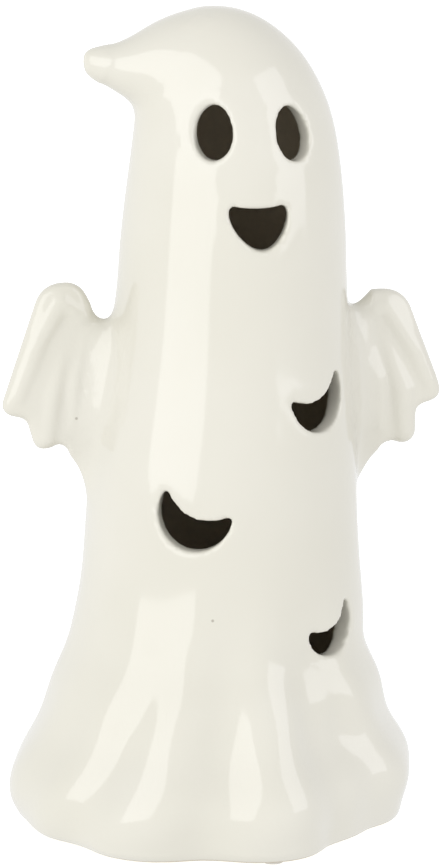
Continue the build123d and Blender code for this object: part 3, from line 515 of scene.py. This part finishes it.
class GHOST_OT_glazed_figure(Operator):
    """Ceramic figure with soft glazed rims and flowing joins"""

    bl_idname = "ghost.glazed_figure"
    bl_label = "Glazed figure"

    def execute(self, context):
        settings = context.scene.ghost_glaze
        figure = copy_node("ceramic_body", "glazed_figure")
        profile = hollow_profile(figure)
        apply_modifier(figure, "REMESH", mode="VOXEL", voxel_size=settings.voxel, use_smooth_shade=True)
        apply_modifier(figure, "SMOOTH", factor=0.5, iterations=settings.rim_rounds)
        points, normals = read_points(figure)
        plain = plain_skin(figure, normals, RIM_TURN, RIM_SPREAD)
        skin = weigh(figure, "skin", plain * (1 - RIDGE_KEEP * wing_weights(points)))
        saddle = weigh(figure, "saddle", saddle_weights(points))
        apply_modifier(figure, "SMOOTH", factor=0.5, iterations=settings.saddle_rounds, vertex_group=saddle)
        apply_modifier(figure, "SMOOTH", factor=0.5, iterations=settings.skin_rounds, vertex_group=skin)
        thin_out(figure, profile, settings.triangles)
        figure.vertex_groups.clear()
        mark_hollow(figure, profile)
        figure.data.materials.append(glazed_clay(settings))
        pick(figure)
        bpy.ops.object.shade_smooth()
        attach(figure, "figure")
        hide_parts("ceramic_body")
        return {"FINISHED"}


def dress(node, material):
    """Gives a CAD node its finish."""
    nodes[node].data.materials.clear()
    nodes[node].data.materials.append(material)


class GHOST_OT_lamp_mouldings(Operator):
    """Finishes of the lamp's plastic and soft parts"""

    bl_idname = "ghost.lamp_mouldings"
    bl_label = "Lamp mouldings"

    def execute(self, context):
        lamp = context.scene.ghost_lamp
        shell = moulded("lamp_plastic", lamp.plastic)
        for node in ("base_cover", "lamp_housing", "battery_door"):
            dress(node, shell)
        soft = moulded("soft_silicone", lamp.silicone, 0.03 * MM, 0.6)
        dress("grip_ring", soft)
        dress("foot_pads", moulded("soft_pads", shaded(lamp.silicone, 1.4), 0.03 * MM, 0.7))
        frost = moulded("frosted_plastic", lamp.frost, 0.02 * MM, 0.5, Subsurface_Weight=0.4)
        dress("light_diffuser", frost)
        black = moulded("switch_plastic", (0.020, 0.020, 0.021), 0.01 * MM, 0.4)
        dress("switch_case", black)
        dress("switch_slider", black)
        return {"FINISHED"}


class GHOST_OT_lamp_electrics(Operator):
    """Finishes of the board, the light, the cells and the wires"""

    bl_idname = "ghost.lamp_electrics"
    bl_label = "Lamp electrics"

    def execute(self, context):
        lamp = context.scene.ghost_lamp
        steel = plated("plated_steel", lamp.steel)
        plates = ("cover_screws", "board_screws", "led_leads", "positive_contact", "negative_contact")
        for node in (*plates, "bridge_contact", "contact_springs"):
            dress(node, steel)
        dress("switch_terminals", plated("terminal_brass", lamp.brass))
        dress("circuit_board", solder_mask(lamp))
        dress("battery_cells", cell_jacket(lamp))
        dress("led", moulded("led_resin", (0.72, 0.66, 0.42), 0.002 * MM, 0.05, Coat_Weight=0.6))
        dress("resistor", moulded("resistor_coat", (0.40, 0.27, 0.13), 0.01 * MM, 0.3))
        dress("timer_chip", moulded("chip_resin", (0.012, 0.012, 0.013), 0.01 * MM, 0.55))
        dress("red_wire", moulded("red_insulation", (0.36, 0.010, 0.010), 0.01 * MM, 0.38))
        dress("black_wire", moulded("black_insulation", (0.012, 0.012, 0.012), 0.01 * MM, 0.38))
        dress("switch_wire", moulded("yellow_insulation", (0.50, 0.31, 0.020), 0.01 * MM, 0.38))
        return {"FINISHED"}


def soft_light(name, place, target, size, power, tint=(1.0, 1.0, 1.0)):
    """Rectangular soft box that faces a target."""
    bpy.ops.object.light_add(type="AREA", location=place)
    lamp = bpy.context.active_object
    lamp.name = name
    lamp.data.shape = "RECTANGLE"
    lamp.data.size, lamp.data.size_y = size
    lamp.data.energy = power
    lamp.data.color = tint
    lamp.rotation_euler = (Vector(target) - Vector(place)).to_track_quat("-Z", "Y").to_euler()
    return lamp


class GHOST_OT_stage(Operator):
    """Pale floor, soft boxes and the camera"""

    bl_idname = "ghost.stage"
    bl_label = "Stage"

    def execute(self, context):
        stage = context.scene.ghost_stage
        bpy.ops.mesh.primitive_plane_add(size=16.0)
        floor = context.active_object
        floor.name = "pale_floor"
        finish = Finish("pale_floor", Specular_IOR_Level=0.0, Roughness=1.0, Emission_Strength=stage.glow)
        cloud = finish.noise(2.0)
        finish.feed("Base Color", finish.mix(cloud, shaded(stage.floor, 0.99), stage.floor))
        floor.data.materials.append(finish.material)
        floor.visible_diffuse = False
        floor.visible_glossy = False

        def around(angle, distance, height):
            turn = stage.azimuth + math.radians(angle)
            return (math.sin(turn) * distance, -math.cos(turn) * distance, height)

        world = context.scene.world or bpy.data.worlds.new("studio")
        context.scene.world = world
        world.use_nodes = True
        sky = Graph(world.node_tree, "Background", "Generated")
        bright_side = sky.toward(around(-45, 0.99, 0.10)).fade(-1.0, 1.0)
        overhead = sky.toward((0.0, 0.0, 1.0)).fade(0.0, 1.0)
        even = stage.sky_far + bright_side * (stage.sky_near - stage.sky_far)
        sky.feed("Strength", even - overhead * stage.sky_shade)
        sky.shader.inputs["Color"].default_value = (1.0, 1.0, 1.0, 1.0)

        middle = (0.0, 0.0, 0.09)
        soft_light("left_box", around(-44, 1.1, 0.55), middle, (1.1, 1.1), 5.6)
        soft_light("right_box", around(62, 1.2, 0.60), middle, (0.9, 1.1), 4.0, (0.93, 0.93, 1.0))

        bpy.ops.object.camera_add(location=around(0, stage.distance, stage.height))
        camera = context.active_object
        aim = Vector((0.0, 0.0, stage.target)) - camera.location
        camera.rotation_euler = aim.to_track_quat("-Z", "Y").to_euler()
        camera.data.lens = stage.lens
        context.scene.camera = camera
        context.scene.view_settings.view_transform = "Standard"
        return {"FINISHED"}


class GHOST_PT_panel(Panel):
    """Buttons for the lantern's pieces and stage"""

    bl_idname = "GHOST_PT_panel"
    bl_label = "Ghost lantern"
    bl_space_type = "VIEW_3D"
    bl_region_type = "UI"
    bl_category = "Ghost"

    def draw(self, context):
        for operator in OPERATORS:
            self.layout.operator(operator.bl_idname)


OPERATORS = (GHOST_OT_glazed_figure, GHOST_OT_lamp_mouldings, GHOST_OT_lamp_electrics, GHOST_OT_stage)
SETTINGS = {"ghost_glaze": GlazeSettings, "ghost_lamp": LampSettings, "ghost_stage": StageSettings}


def register():
    for group in SETTINGS.values():
        bpy.utils.register_class(group)
    for name, group in SETTINGS.items():
        setattr(bpy.types.Scene, name, PointerProperty(type=group))
    for operator in OPERATORS:
        bpy.utils.register_class(operator)
    bpy.utils.register_class(GHOST_PT_panel)


def unregister():
    bpy.utils.unregister_class(GHOST_PT_panel)
    for operator in reversed(OPERATORS):
        bpy.utils.unregister_class(operator)
    for name, group in SETTINGS.items():
        delattr(bpy.types.Scene, name)
        bpy.utils.unregister_class(group)


def main():
    register()
    bpy.ops.ghost.glazed_figure()
    bpy.ops.ghost.lamp_mouldings()
    bpy.ops.ghost.lamp_electrics()
    bpy.ops.ghost.stage()


if __name__ == "__main__":
    main()
